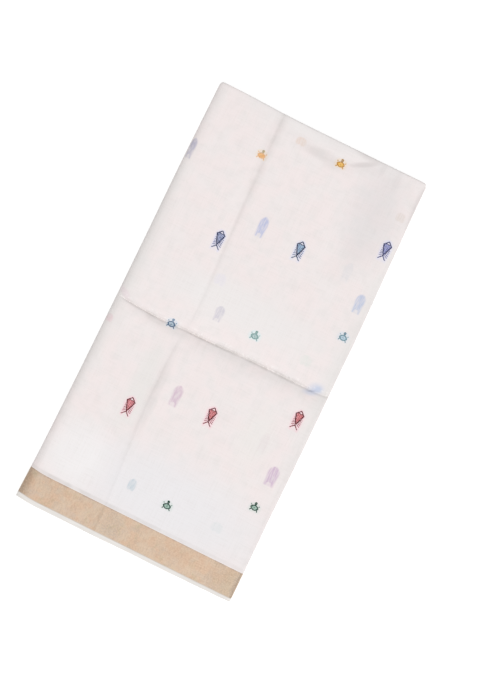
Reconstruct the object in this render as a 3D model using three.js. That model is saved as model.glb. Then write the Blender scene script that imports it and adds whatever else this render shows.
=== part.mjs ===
// A cotton muslin saree folded into a long flat packet, lying on a table. Millimetres, +Z up.
//
// The cloth is folded in half across its width, so both selvedges meet at one end, and then panel by
// panel along its length. X runs across the packet, from the spine fold (-X) to the open edges (+X).
// Y runs along it, from the selvedge end (-Y) to the fold end (+Y). Z = 0 is the flat underside.
//
// One outer wrap of cloth shows: the front panel, which turns round the spine, and the back panel.
// The layers between them are one rounded solid with layered edges.
import * as THREE from "three";

// Driving dimensions
const CLOTH_WIDTH = 1160;
const PACKET_LENGTH = CLOTH_WIDTH / 2;
const FOLD_END_WIDTH = 290;
const SELVEDGE_END_WIDTH = 299;
const FOLD_END_SKEW = 4;
const SELVEDGE_END_SKEW = 2.2;
const SELVEDGE_WIDTH = 5.6;
const BORDER_WIDTH = 34.4;
const SEAM_SKEW = 1.4;
const WALL = 1;
const GAP = 0.3;

// Rounding of the folds
const SPINE_ROUND = 15;
const OPEN_ROUND = 2.6;
const FOLD_ROUND = 4;
const CORNER_ROUND = 3.5;
const BACK_ROUND = 1.8;
const CROWN = 0.9;

// Height of the pile along the packet
const PILE_HEIGHTS = [
  { y: -290, height: 10.2 },
  { y: -250, height: 11.4 },
  { y: -150, height: 13.2 },
  { y: -40, height: 14.4 },
  { y: 40, height: 14.8 },
  { y: 160, height: 14.8 },
  { y: 250, height: 14.2 },
  { y: 290, height: 13.0 },
];

// How far each long side stands out from a straight line: the spine side and the open side
const SIDE_BOWS = [
  { y: -290, spine: 1.9, open: -1.7 },
  { y: -232, spine: 0.3, open: -1.5 },
  { y: -174, spine: -0.4, open: -1.0 },
  { y: -58, spine: -0.8, open: -0.3 },
  { y: 58, spine: -0.5, open: 0.4 },
  { y: 174, spine: 0.5, open: -0.6 },
  { y: 232, spine: 0.3, open: -1.5 },
  { y: 290, spine: 0.2, open: -1.6 },
];

// How far the selvedge end turns up beside the spine fold
const SELVEDGE_END_RISE = [
  { x: -156, rise: 2.0 },
  { x: -148, rise: 1.8 },
  { x: -143, rise: 1.5 },
  { x: -138, rise: 0.9 },
  { x: -130, rise: 0.2 },
  { x: -118, rise: 0 },
  { x: 156, rise: 0 },
];

// How far the fold end stands out from a straight line
const FOLD_END_BOW = [
  { x: -145, out: 0.7 },
  { x: -100, out: 0.1 },
  { x: -70, out: -0.8 },
  { x: -35, out: -1.4 },
  { x: 20, out: -1.1 },
  { x: 80, out: -0.6 },
  { x: 145, out: 0 },
];

// The pressed crease across the packet: a valley, with how far it reaches towards the selvedge end.
// Beyond the crease it reaches further.
const CROSS_CREASE = [
  { x: -147, y: -4.6, depth: 0.8, before: 8 },
  { x: -119, y: -7.6, depth: 1.0, before: 8 },
  { x: -97, y: -9.0, depth: 1.6, before: 12 },
  { x: -63, y: -9.4, depth: 2.3, before: 17 },
  { x: -50, y: -8.6, depth: 2.5, before: 20 },
  { x: -25, y: -8.8, depth: 3.5, before: 27 },
  { x: 34, y: -7.7, depth: 3.5, before: 28 },
  { x: 84, y: -8.0, depth: 3.4, before: 28 },
  { x: 127, y: -8.2, depth: 2.8, before: 26 },
  { x: 147, y: -7.0, depth: 2.2, before: 24 },
];
const CROSS_CREASE_BEYOND = 70;

// The crease along the packet: a valley above the cross crease and a ridge below it, with how far
// each reaches towards the spine and towards the open edges
const LENGTH_CREASE = [
  { y: -290, x: -42, height: 0.3, toSpine: 6, toOpen: 12 },
  { y: -236, x: -44, height: 0.6, toSpine: 6, toOpen: 12 },
  { y: -146, x: -50, height: 0.8, toSpine: 6, toOpen: 12 },
  { y: -75, x: -52, height: 0.8, toSpine: 6, toOpen: 12 },
  { y: -15, x: -50.5, height: 0.1, toSpine: 12, toOpen: 9 },
  { y: 15, x: -48, height: -1.0, toSpine: 24, toOpen: 7 },
  { y: 134, x: -51.5, height: -1.2, toSpine: 24, toOpen: 7 },
  { y: 290, x: -56, height: -1.2, toSpine: 24, toOpen: 7 },
];

// Soft troughs (height below zero) and swells (above zero) from one point to another
const SOFT_FOLDS = [
  { fromX: -29, fromY: 277, toX: 22, toY: 262, reach: 13, height: -0.7 },
  { fromX: 22, fromY: 262, toX: 79, toY: 283, reach: 13, height: -0.9 },
  { fromX: 92, fromY: 272, toX: 82, toY: 150, reach: 27, height: -0.9 },
  { fromX: -127, fromY: 125, toX: -121, toY: 26, reach: 16, height: 0.5 },
  { fromX: -101, fromY: -207, toX: -96, toY: -55, reach: 24, height: 0.5 },
  { fromX: 63, fromY: -168, toX: 40, toY: -36, reach: 26, height: 0.5 },
];

// The folded layers from the top down: how far each stands past the front panel at three of its sides
const LAYERS = [
  { open: -1.1, fold: -1.0, selvedge: -0.5 },
  { open: 0.5, fold: -0.3, selvedge: 0.2 },
  { open: -0.8, fold: -1.1, selvedge: -1.0 },
  { open: 0.3, fold: -0.5, selvedge: -0.2 },
  { open: -0.5, fold: -1.3, selvedge: -0.9 },
  { open: -1.2, fold: -0.9, selvedge: -1.4 },
];
const LAYER_GROOVE = 1.4;
const LAYER_SIDE_FADE = 15;

// Colours and roughness of the cloth
const CLOTHS = [
  { stretch: "field", colour: 0xf1eae7, roughness: 0.85 },
  { stretch: "border", colour: 0xdcc09e, roughness: 0.6 },
  { stretch: "selvedge", colour: 0xf6f2ee, roughness: 0.85 },
];

// Fineness of the faceted cloth: the angles round a turned edge, from its lip to where it lies flat,
// where a crease has a line of points, and the steps between such places.
const SPINE_ANGLES = [0, 22, 45, 68, 90];
const LIP_ANGLES = [0, 45, 90];
const FOLD_ANGLES = [0, 30, 60, 90];
const LENGTH_CREASE_SHARES = [-1, -0.45, 0, 0.45, 1];
const CROSS_CREASE_DISTANCES = [-30, -18, -10, -5, -2, 0, 3, 12, 26, 46, 70];
const STEPS = {
  spineToCrease: 5,
  creaseToCorner: 11,
  borderToCrossCrease: 7,
  crossCreaseToFold: 10,
  acrossBack: 3,
  alongBack: 8,
};

const radians = THREE.MathUtils.degToRad;
const lerp = THREE.MathUtils.lerp;

// The value of one column of a table at a place between its rows, on a smooth curve through them.
function along(table, key, column, place) {
  const last = table.length - 2;
  const found = table.findIndex((row) => row[key] > place) - 1;
  const i = found < -1 || found > last ? last : Math.max(0, found);
  const before = table[Math.max(0, i - 1)];
  const after = table[Math.min(table.length - 1, i + 2)];
  const [low, high] = [table[i], table[i + 1]];
  const span = high[key] - low[key];
  const share = THREE.MathUtils.clamp((place - low[key]) / span, 0, 1);
  const lowSlope = ((high[column] - before[column]) / (high[key] - before[key])) * span;
  const highSlope = ((after[column] - low[column]) / (after[key] - low[key])) * span;
  const rise = high[column] - low[column];
  const bend = share * (1 - share);
  return (
    lerp(low[column], high[column], share) +
    bend * ((1 - share) * (lowSlope - rise) - share * (highSlope - rise))
  );
}

// Outline of the packet, seen from above
function halfWidth(y) {
  return lerp(SELVEDGE_END_WIDTH, FOLD_END_WIDTH, y / PACKET_LENGTH + 0.5) / 2;
}
function spineX(y) {
  return -halfWidth(y) - along(SIDE_BOWS, "y", "spine", y);
}
function openX(y) {
  return halfWidth(y) + along(SIDE_BOWS, "y", "open", y);
}
function selvedgeEndY(x) {
  const straight = -PACKET_LENGTH / 2 - (SELVEDGE_END_SKEW * x) / SELVEDGE_END_WIDTH;
  return straight + along(SELVEDGE_END_RISE, "x", "rise", x);
}
// The fold end, moved in by an inset, with its two corners rounded.
function foldEndY(x, inset) {
  const straight = PACKET_LENGTH / 2 - (FOLD_END_SKEW * x) / FOLD_END_WIDTH;
  const end = straight + along(FOLD_END_BOW, "x", "out", x);
  const side = Math.min(x - spineX(end), openX(end) - x);
  const intoCorner = CORNER_ROUND - side;
  if (intoCorner <= 0) return end - inset;
  const radius = CORNER_ROUND - inset;
  return end - CORNER_ROUND + Math.sqrt(Math.max(0, radius ** 2 - intoCorner ** 2));
}

// Creases and soft folds of the front panel
function crossCreaseY(x) {
  return along(CROSS_CREASE, "x", "y", x);
}
function lengthCreaseX(y) {
  return along(LENGTH_CREASE, "y", "x", y);
}
// A fall from 1 on a crease's line to 0 at its reach, sharp on the line.
function pressed(distance, reach) {
  return Math.max(0, 1 - Math.abs(distance) / reach) ** 2;
}
// How far the lengthwise crease reaches, on the side that a distance from its line is on.
function lengthCreaseReach(y, distance) {
  return along(LENGTH_CREASE, "y", distance < 0 ? "toSpine" : "toOpen", y);
}
function softFold(fold, x, y) {
  const start = new THREE.Vector3(fold.fromX, fold.fromY, 0);
  const line = new THREE.Line3(start, new THREE.Vector3(fold.toX, fold.toY, 0));
  const here = new THREE.Vector3(x, y, 0);
  const nearest = line.closestPointToPoint(here, true, new THREE.Vector3());
  const closeness = 1 - here.distanceTo(nearest) / fold.reach;
  return fold.height * THREE.MathUtils.smoothstep(closeness, 0, 1);
}
function relief(x, y) {
  const beyond = y - crossCreaseY(x);
  const crossReach = beyond < 0 ? along(CROSS_CREASE, "x", "before", x) : CROSS_CREASE_BEYOND;
  const cross = -along(CROSS_CREASE, "x", "depth", x) * pressed(beyond, crossReach);
  const aside = x - lengthCreaseX(y);
  const lengthHeight = along(LENGTH_CREASE, "y", "height", y);
  const lengthwise = lengthHeight * pressed(aside, lengthCreaseReach(y, aside));
  const soft = SOFT_FOLDS.reduce((sum, fold) => sum + softFold(fold, x, y), 0);
  return cross + lengthwise + soft;
}

function pileHeight(y) {
  return along(PILE_HEIGHTS, "y", "height", y);
}
// Height of the line along the spine where the front and back panels meet.
function spineMiddle(y) {
  return pileHeight(y) / 2;
}
// Rise of a quarter circle from 0 at its foot to 1 at its radius.
function quarter(distance, radius) {
  const share = THREE.MathUtils.clamp(distance / radius, 0, 1);
  return Math.sqrt(1 - (1 - share) ** 2);
}

// Height of the front panel at a place, for a surface moved in by an inset from the outer face.
function frontZ(x, y, inset) {
  const crown = CROWN * (1 - (x / (FOLD_END_WIDTH / 2)) ** 2);
  const top = pileHeight(y) + crown + relief(x, y) - inset;
  const seam = spineMiddle(y) + GAP / 2;
  const fromSpine = x - spineX(y) - inset;
  const fromOpen = openX(y) - x - inset;
  const fromFold = foldEndY(x, inset) - y;
  return Math.min(
    seam + (top - seam) * quarter(fromSpine, SPINE_ROUND - inset),
    top - (OPEN_ROUND - inset) * (1 - quarter(fromOpen, OPEN_ROUND - inset)),
    top - (FOLD_ROUND - inset) * (1 - quarter(fromFold, FOLD_ROUND - inset)),
  );
}

// Height of the back panel: flat where it rests, with its sides turned up.
function backZ(x, y, inset) {
  const seam = spineMiddle(y) - GAP / 2;
  const fromSpine = x - spineX(y) - inset;
  const fromOpen = openX(y) - x - inset;
  const fromFold = foldEndY(x, inset) - y;
  return Math.max(
    seam - (seam - inset) * quarter(fromSpine, SPINE_ROUND - inset),
    inset + (BACK_ROUND - inset) * (1 - quarter(fromOpen, BACK_ROUND - inset)),
    inset + (BACK_ROUND - inset) * (1 - quarter(fromFold, BACK_ROUND - inset)),
  );
}

// Places of a turned edge, from its lip to where it lies flat, as distances from the outline.
function turnedEdge(radius, inset, angles) {
  return angles.map((angle) => inset + (radius - inset) * (1 - Math.cos(radians(angle))));
}
function evenly(from, to, steps) {
  return Array.from({ length: steps - 1 }, (_, i) => lerp(from, to, (i + 1) / steps));
}

// Columns of the front panel at one y: round the spine, past the lengthwise crease, to the open edge.
function frontColumns(y, inset) {
  const crease = lengthCreaseX(y);
  const spine = turnedEdge(SPINE_ROUND, inset, SPINE_ANGLES).map((d) => spineX(y) + d);
  const open = turnedEdge(OPEN_ROUND, inset, LIP_ANGLES).map((d) => openX(y) - d).reverse();
  const lines = LENGTH_CREASE_SHARES.map((share) => crease + share * lengthCreaseReach(y, share));
  const corner = openX(y) - CORNER_ROUND;
  return [
    ...spine,
    ...evenly(spine.at(-1), lines[0], STEPS.spineToCrease),
    ...lines,
    ...evenly(lines.at(-1), corner, STEPS.creaseToCorner),
    corner,
    ...open,
  ];
}
function backColumns(y, inset) {
  const spine = turnedEdge(SPINE_ROUND, inset, SPINE_ANGLES).map((d) => spineX(y) + d);
  const open = turnedEdge(BACK_ROUND, inset, LIP_ANGLES).map((d) => openX(y) - d).reverse();
  const corner = openX(y) - CORNER_ROUND;
  return [...spine, ...evenly(spine.at(-1), corner, STEPS.acrossBack), corner, ...open];
}

// Rows. Each is a function that gives y from x and the surface's inset.
// The border's seams lie a little askew to the selvedge end.
function fromSelvedge(distance) {
  const skew = SEAM_SKEW * Math.min(1, distance / SELVEDGE_WIDTH);
  return (x) => selvedgeEndY(x) + distance - (skew * x) / SELVEDGE_END_WIDTH;
}
function fromCrossCrease(distance) {
  return (x) => crossCreaseY(x) + distance;
}
function fromFoldEnd(radius, angle) {
  return (x, inset) => foldEndY(x, inset) - (radius - inset) * (1 - Math.cos(radians(angle)));
}
function rowsBetween(first, last, steps) {
  const shares = evenly(0, 1, steps);
  return shares.map((share) => (x, inset) => lerp(first(x, inset), last(x, inset), share));
}

const borderStart = SELVEDGE_WIDTH;
const fieldStart = SELVEDGE_WIDTH + BORDER_WIDTH;
const creaseRows = CROSS_CREASE_DISTANCES.map(fromCrossCrease);
function foldEndRows(radius, angles) {
  return angles.map((angle) => fromFoldEnd(radius, angle)).reverse();
}
const frontRows = {
  selvedge: [fromSelvedge(0), fromSelvedge(borderStart - GAP / 2)],
  border: [
    fromSelvedge(borderStart + GAP / 2),
    fromSelvedge(borderStart + BORDER_WIDTH / 2),
    fromSelvedge(fieldStart - GAP / 2),
  ],
  field: [
    fromSelvedge(fieldStart + GAP / 2),
    ...rowsBetween(fromSelvedge(fieldStart), creaseRows[0], STEPS.borderToCrossCrease),
    ...creaseRows,
    ...rowsBetween(creaseRows.at(-1), fromFoldEnd(FOLD_ROUND, 90), STEPS.crossCreaseToFold),
    ...foldEndRows(FOLD_ROUND, FOLD_ANGLES),
  ],
};
const backRows = {
  selvedge: frontRows.selvedge,
  border: frontRows.border,
  field: [
    fromSelvedge(fieldStart + GAP / 2),
    ...rowsBetween(fromSelvedge(fieldStart), fromFoldEnd(BACK_ROUND, 90), STEPS.alongBack),
    ...foldEndRows(BACK_ROUND, LIP_ANGLES),
  ],
};

// A grid of points on one face of a panel: a list of rows, each a list of columns.
function faceGrid(rows, columns, height, inset) {
  return rows.map((row) =>
    columns(row(0, inset), inset).map((x) => {
      const y = row(x, inset);
      return new THREE.Vector3(x, y, height(x, y, inset));
    }),
  );
}

// Gathers points and triangles of one closed body.
class Body {
  constructor() {
    this.points = [];
    this.triangles = [];
  }
  // Adds a grid of points and returns the number of each.
  place(grid) {
    return grid.map((row) => row.map((point) => this.points.push(point) - 1));
  }
  // Faces over a grid of point numbers, wound to face the side that X across and Y along leave upward.
  cover(numbers) {
    for (let r = 0; r + 1 < numbers.length; r++) {
      for (let c = 0; c + 1 < numbers[r].length; c++) {
        const [a, b] = [numbers[r][c], numbers[r][c + 1]];
        const [d, e] = [numbers[r + 1][c], numbers[r + 1][c + 1]];
        this.triangles.push(a, b, e, a, e, d);
      }
    }
  }
  mesh(name, colour, roughness) {
    const geometry = new THREE.BufferGeometry().setFromPoints(this.points);
    geometry.setIndex(this.triangles);
    geometry.computeVertexNormals();
    const material = new THREE.MeshStandardMaterial({ color: colour, roughness, metalness: 0 });
    const mesh = new THREE.Mesh(geometry, material);
    mesh.name = name;
    return mesh;
  }
}

// The numbers round the border of a grid, anticlockwise from above, starting at its first point.
function rim(numbers) {
  const rows = numbers.length - 1;
  const columns = numbers[0].length - 1;
  return [
    ...numbers[0].slice(0, columns),
    ...numbers.slice(0, rows).map((row) => row[columns]),
    ...numbers[rows].slice(1).reverse(),
    ...numbers.slice(1).map((row) => row[0]).reverse(),
  ];
}
function closedLoop(numbers) {
  return [...numbers, numbers[0]];
}
// The same grid seen from its other side: rows become columns, so its faces turn over.
function turnedOver(numbers) {
  return numbers[0].map((_, c) => numbers.map((row) => row[c]));
}

// A panel of cloth: a wall between its outer face and its inner face.
function panel(rows, columns, height, facesUp) {
  const body = new Body();
  const outer = body.place(faceGrid(rows, columns, height, 0));
  const inner = body.place(faceGrid(rows, columns, height, WALL));
  const [upper, lower] = facesUp ? [outer, inner] : [inner, outer];
  body.cover(upper);
  body.cover(turnedOver(lower));
  body.cover([closedLoop(rim(lower)), closedLoop(rim(upper))]);
  return body;
}

// Levels down the side of the folded layers: a groove between each layer and the next, a nose on each.
function layerLevels() {
  return LAYERS.flatMap((layer, i) => [
    { drop: (i + 0.5) / LAYERS.length, ...layer },
    {
      drop: (i + 1) / LAYERS.length,
      open: layer.open - LAYER_GROOVE,
      fold: layer.fold - LAYER_GROOVE,
      selvedge: layer.selvedge - LAYER_GROOVE,
    },
  ]);
}

// The folded layers. The top is clear of the front panel's inner face, and the sides run down from it.
function foldedLayers() {
  const body = new Body();
  const inset = WALL + GAP;
  const rows = [
    fromSelvedge(inset),
    fromSelvedge(borderStart),
    fromSelvedge(borderStart + BORDER_WIDTH / 2),
    fromSelvedge(fieldStart),
    ...frontRows.field.slice(1),
  ];
  const top = faceGrid(rows, frontColumns, frontZ, inset);
  const topNumbers = body.place(top);
  body.cover(topNumbers);
  const edge = rim(topNumbers).map((number) => body.points[number]);
  const fade = (distance) => Math.max(0, 1 - distance / LAYER_SIDE_FADE);

  // One ring of the side: each point of the edge, lowered, and moved out or in at the sides it is near.
  const ring = (level) =>
    edge.map((point) => {
      const fromSpine = fade(point.x - spineX(point.y) - inset);
      const fromOpen = fade(openX(point.y) - point.x - inset);
      const fromFold = fade(foldEndY(point.x, inset) - point.y);
      const fromSelvedgeEnd = fade(point.y - selvedgeEndY(point.x) - inset);
      const spineInset = (SPINE_ROUND - inset) * (1 - quarter(1 - level.drop, 1));
      return new THREE.Vector3(
        point.x + spineInset * fromSpine + (level.open + inset) * fromOpen,
        point.y + (level.fold + inset) * fromFold - (level.selvedge + inset) * fromSelvedgeEnd,
        lerp(point.z, inset, level.drop),
      );
    });
  const rings = body.place(layerLevels().map(ring));
  const side = [rim(topNumbers), ...rings].map(closedLoop);
  body.cover(side.reverse());

  const bottom = rings.at(-1);
  const outline = bottom.map((number) => body.points[number]);
  for (const [a, b, c] of THREE.ShapeUtils.triangulateShape(outline, [])) {
    body.triangles.push(bottom[c], bottom[b], bottom[a]);
  }
  return body;
}

const saree = new THREE.Group();
for (const { stretch, colour, roughness } of CLOTHS) {
  const front = panel(frontRows[stretch], frontColumns, frontZ, true);
  const back = panel(backRows[stretch], backColumns, backZ, false);
  saree.add(front.mesh(`front_${stretch}`, colour, roughness));
  saree.add(back.mesh(`back_${stretch}`, colour, roughness));
}
saree.add(foldedLayers().mesh("folded_layers", CLOTHS[0].colour, CLOTHS[0].roughness));

export default saree;
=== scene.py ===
"""A cotton muslin saree folded into a long flat packet, lying on a table.

Sizes are in millimetres, and become metres as each mesh is made. X runs across the packet, from the
spine fold (-X) to the open edges (+X). Y runs along it, from the selvedge end (-Y) to the fold end
(+Y). Z = 0 is the flat underside.
"""
import math

import bmesh
import bpy
import numpy as np
from bpy.props import FloatProperty, FloatVectorProperty, IntProperty, PointerProperty
from mathutils import Matrix, Vector


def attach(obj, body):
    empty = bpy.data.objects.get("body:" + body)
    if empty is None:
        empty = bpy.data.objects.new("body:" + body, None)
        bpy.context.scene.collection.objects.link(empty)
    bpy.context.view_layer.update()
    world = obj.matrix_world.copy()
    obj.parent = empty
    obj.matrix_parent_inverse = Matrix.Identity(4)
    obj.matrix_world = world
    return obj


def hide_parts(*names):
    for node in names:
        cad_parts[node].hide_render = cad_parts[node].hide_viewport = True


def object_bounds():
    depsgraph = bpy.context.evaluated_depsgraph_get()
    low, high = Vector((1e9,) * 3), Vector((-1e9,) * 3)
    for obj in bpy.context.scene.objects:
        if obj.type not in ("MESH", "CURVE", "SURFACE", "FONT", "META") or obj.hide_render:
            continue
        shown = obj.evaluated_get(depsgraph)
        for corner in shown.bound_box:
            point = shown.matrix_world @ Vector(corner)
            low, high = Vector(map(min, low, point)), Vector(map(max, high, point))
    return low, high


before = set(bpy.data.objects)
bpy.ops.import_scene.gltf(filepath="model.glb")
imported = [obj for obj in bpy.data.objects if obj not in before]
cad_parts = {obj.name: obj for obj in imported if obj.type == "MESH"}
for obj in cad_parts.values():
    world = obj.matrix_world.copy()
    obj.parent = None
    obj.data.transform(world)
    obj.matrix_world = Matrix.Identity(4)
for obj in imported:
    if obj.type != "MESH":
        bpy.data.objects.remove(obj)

bl_info = {
    "name": "Folded Muslin Saree",
    "version": (1, 0, 0),
    "blender": (4, 5, 0),
    "location": "View3D > Sidebar > Saree",
    "description": "Builds a folded muslin saree with woven sprigs round its packed solids",
    "category": "Object",
}

MM = 0.001
CAD_LOW, CAD_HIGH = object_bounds()

# The packet, the same sizes as its solids have
CLOTH_WIDTH = 1160
PACKET_LENGTH = CLOTH_WIDTH / 2
FOLD_END_WIDTH = 290
SELVEDGE_END_WIDTH = 299
FOLD_END_SKEW = 4
SELVEDGE_END_SKEW = 2.2
SELVEDGE_WIDTH = 5.6
BORDER_WIDTH = 34.4
SEAM_SKEW = 1.4
SPINE_ROUND = 15
CORNER_ROUND = 3.5
CROWN = 0.9
FIELD_START = SELVEDGE_WIDTH + BORDER_WIDTH

# Shapes along or across the packet are tables, whose first row names their columns.

# How far the selvedge end turns up beside the spine fold
SELVEDGE_END_RISE = (
    ("x", "rise"),
    (-156, 2.0), (-148, 1.8), (-143, 1.5), (-138, 0.9), (-130, 0.2), (-118, 0), (156, 0),
)

# Height of the pile along the packet
PILE_HEIGHTS = (
    ("y", "height"),
    (-290, 10.2), (-250, 11.4), (-150, 13.2), (-40, 14.4), (40, 14.8), (160, 14.8), (250, 14.2), (290, 13.0),
)

# How far each long side stands out from a straight line
SIDE_BOWS = (
    ("y", "spine", "open"),
    (-290, 1.9, -1.7),
    (-232, 0.3, -1.5),
    (-174, -0.4, -1.0),
    (-58, -0.8, -0.3),
    (58, -0.5, 0.4),
    (174, 0.5, -0.6),
    (232, 0.3, -1.5),
    (290, 0.2, -1.6),
)

# How far the fold end stands out from a straight line
FOLD_END_BOW = (
    ("x", "out"),
    (-145, 0.7), (-100, 0.1), (-70, -0.8), (-35, -1.4), (20, -1.1), (80, -0.6), (145, 0),
)

# The pressed crease across the packet, a valley, with its reach towards the selvedge end
CROSS_CREASE = (
    ("x", "y", "depth", "reach"),
    (-147, -4.6, 0.3, 8),
    (-119, -7.6, 0.8, 8),
    (-97, -9.0, 1.6, 12),
    (-63, -9.4, 2.3, 17),
    (-50, -8.6, 2.5, 20),
    (-25, -8.8, 3.5, 27),
    (34, -7.7, 3.5, 28),
    (84, -8.0, 3.4, 28),
    (127, -8.2, 2.8, 26),
    (147, -7.0, 2.2, 24),
)
CROSS_CREASE_BEYOND = 70

# The fine groove on that crease. Its near wall slopes, its far wall is steep: reach, power
CROSS_GROOVE = (
    ("x", "depth"),
    (-147, 0.2), (-135, 0.7), (-112, 1.3), (-95, 1.1), (-78, 1.0), (-64, 0.5), (-50, 0.6),
    (-38, 1.3), (-15, 1.3), (10, 0.7), (60, 0.8), (90, 0.7), (120, 0.6), (147, 0.3),
)
CROSS_GROOVE_SHIFT = 0.6
CROSS_GROOVE_BEFORE = (2.6, 1.2)
CROSS_GROOVE_BEYOND = (0.9, 1)

# The crease along the packet: a valley above the cross crease and a ridge below it
LENGTH_CREASE = (
    ("y", "x", "height"),
    (-290, -42, 0.3),
    (-236, -44, 0.6),
    (-146, -50, 0.8),
    (-75, -52, 0.8),
    (-15, -50.5, 0.1),
    (15, -48, -1.0),
    (134, -51.5, -1.2),
    (290, -56, -1.2),
)
LENGTH_CREASE_REACH = (
    ("y", "to_spine", "to_open"),
    (-290, 6, 12),
    (-75, 6, 12),
    (-15, 12, 9),
    (15, 24, 7),
    (290, 24, 7),
)

# Soft troughs (height below zero) and swells (above zero): from x, y to x, y, reach, height
SOFT_FOLDS = (
    (-29, 277, 22, 262, 13, -0.7),
    (22, 262, 79, 283, 13, -0.9),
    (92, 272, 82, 150, 27, -0.9),
    (-127, 125, -121, 26, 16, 0.5),
    (-101, -207, -96, -55, 24, 0.5),
    (63, -168, 40, -36, 26, 0.5),
)

# Fine relief of the cloth: grain across, grain along, height and seed of each kind of ripple. Three kinds
# fade away from a line.
SLOW_RIPPLE = (46, 62, 0.30, 11)
SMALL_RIPPLE = (15, 19, 0.10, 12)
OPEN_EDGE_PUCKER = (9, 8, 0.30, 13)
OPEN_EDGE_FADE = 5
CREASE_PUCKER = (6, 14, 0.40, 14)
CREASE_FADE = 7
SELVEDGE_END_WAVE = (17, 30, 0.35, 15)
SELVEDGE_END_FADE = 14

# How the selvedge end wanders: grain, amount, how far in it fades, seed
SELVEDGE_WANDER = (13, 0.45, 5, 16)

# The thin cloth of the wrap. Its underside lies just above the table, and the sprigs fill the rest
UNDERSIDE = 0.2
UNDER_FLOAT_RISE = 0.95 * UNDERSIDE

# Lips of the cloth, from where it lies flat, over the edge and back under: distance in, fall
OPEN_LIP = (
    (5.0, 0.0), (3.6, 0.1), (2.4, 0.3), (1.4, 0.62), (0.6, 1.05), (0.12, 1.5), (0.0, 1.8), (0.15, 2.15),
    (0.6, 2.4), (1.6, 2.5), (3.2, 2.5),
)
FOLD_LIP = (
    (4.0, 0.0), (2.6, 0.07), (1.5, 0.22), (0.75, 0.5), (0.25, 0.95), (0.04, 1.35), (0.0, 1.7), (0.15, 2.1),
    (0.6, 2.4), (1.6, 2.5), (4.2, 2.5),
)
LIP_NOSE = 6
UNDER_LIP_SHARE = 0.6

# Fineness of the wrap: counts of columns and rows between its landmarks
COLUMNS_UNDER = 40
COLUMNS_TO_CREASE = 30
COLUMNS_FROM_CREASE = 66
SPINE_TURNS = np.linspace(-90, 90, 15)
LENGTH_CREASE_SHARES = (-1, -0.7, -0.45, -0.25, -0.12, 0, 0.12, 0.25, 0.45, 0.7, 1)
CREASE_BEFORE = (-30, -24, -19, -15, -11, -8, -5.5, -3.6, -2.4, -1.4, -0.8, -0.3)
CREASE_BEYOND = (0.1, 0.35, 0.6, 0.8, 1.05, 1.3, 1.7, 2.6, 4, 6, 9, 13, 18, 24, 31, 39, 48, 58, 70)
SELVEDGE_ROWS = 4
BORDER_ROWS = 14
ROWS_TO_CROSS_CREASE = 74
ROWS_TO_FOLD_END = 84

# The folded leaves inside: how far the cloth of the wrap reaches in, how full and how thick each leaf is
WRAP_DEPTH = 0.6
LEAF_FILL = 0.93
LEAF_HALF_THICKNESS = 0.35
LEAF_REACH_OPEN = (-4.0, -3.7, 0.3, -0.6, 0.5, -0.3, 0.4, -0.8)
LEAF_REACH_OPEN_UNDER = (-4.0, 0.2, -0.7, 0.4, -0.5, 0.1, -0.9, 0.3)
LEAF_REACH_FOLD = (-5.2, -5.0, -4.9, -0.5, -1.0, -0.2, -1.1, -0.6)
LEAF_REACH_FOLD_UNDER = (-5.0, -4.8, -0.9, -0.3, -1.2, -0.6, -0.2, -1.0)
LEAF_REACH_SELVEDGE = (0.3, -0.6, -1.2, -0.2, -0.9, -1.4, -0.3, -1.0)

# Ripples of the leaves' edges: amount, then the grain of each edge, how far apart the leaves' ripples
# lie, and seed
LEAF_RIPPLE = 0.35
OPEN_RIPPLE = (30, 3.7, 21)
FOLD_RIPPLE = (24, 5.3, 22)
SELVEDGE_RIPPLE = (24, 5.3, 23)

# Rows at a leaf's selvedge end, where its two plies part: distance from the end, share of thickness
PARTED_PLIES = ((5.2, 0.0), (5.0, 0.16), (0.3, 0.22), (0.0, 0.34), (0.0, 0.86), (0.25, 1.0))

# Fineness of a leaf: turns round its nose and the spine, stations along its arm, its rows, and where its
# rounded fold end starts
LEAF_NOSE_TURNS = np.radians((45, 90, 135))
LEAF_SPINE_TURNS = np.radians(np.linspace(-90, 90, 9))[1:-1]
LEAF_END_TURNS = np.radians((0, 30, 60, 90))
LEAF_TO_CREASE = 4
LEAF_AT_CREASE = np.array((-0.4, 0, 0.4))
LEAF_FROM_CREASE = 9
LEAF_STATIONS = LEAF_TO_CREASE + len(LEAF_AT_CREASE) + LEAF_FROM_CREASE
LEAF_CREASE_REACH = 9
LEAF_CREASE_ROWS = (-30, -18, -9, -4, -1.4, 0, 1, 2, 5, 14, 30, 50, 70)
LEAF_ROWS_TO_CREASE = 16
LEAF_ROWS_TO_FOLD = 18
LEAF_FLAT_END = 14
LEAF_TURN_START = 8

# Each leaf shows its own part of the cloth's pattern, and the points where it closes are merged
LEAF_PATTERN_SHIFT = 1000
MERGED_WITHIN = 0.001 * MM


def along(table, name, place):
    """A named column of a table at a place in its first column, on a smooth curve through the rows."""
    names, *rows = table
    columns = np.array(rows, float).T
    keys = columns[0]
    values = columns[names.index(name)]
    place = np.asarray(place, float)
    i = np.clip(np.searchsorted(keys, place, side="right") - 1, 0, len(keys) - 2)
    before = np.maximum(i - 1, 0)
    after = np.minimum(i + 2, len(keys) - 1)
    span = keys[i + 1] - keys[i]
    share = np.clip((place - keys[i]) / span, 0, 1)
    low_slope = (values[i + 1] - values[before]) / (keys[i + 1] - keys[before]) * span
    high_slope = (values[after] - values[i]) / (keys[after] - keys[i]) * span
    rise = values[i + 1] - values[i]
    bend = share * (1 - share) * ((1 - share) * (low_slope - rise) - share * (high_slope - rise))
    return values[i] + rise * share + bend


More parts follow.
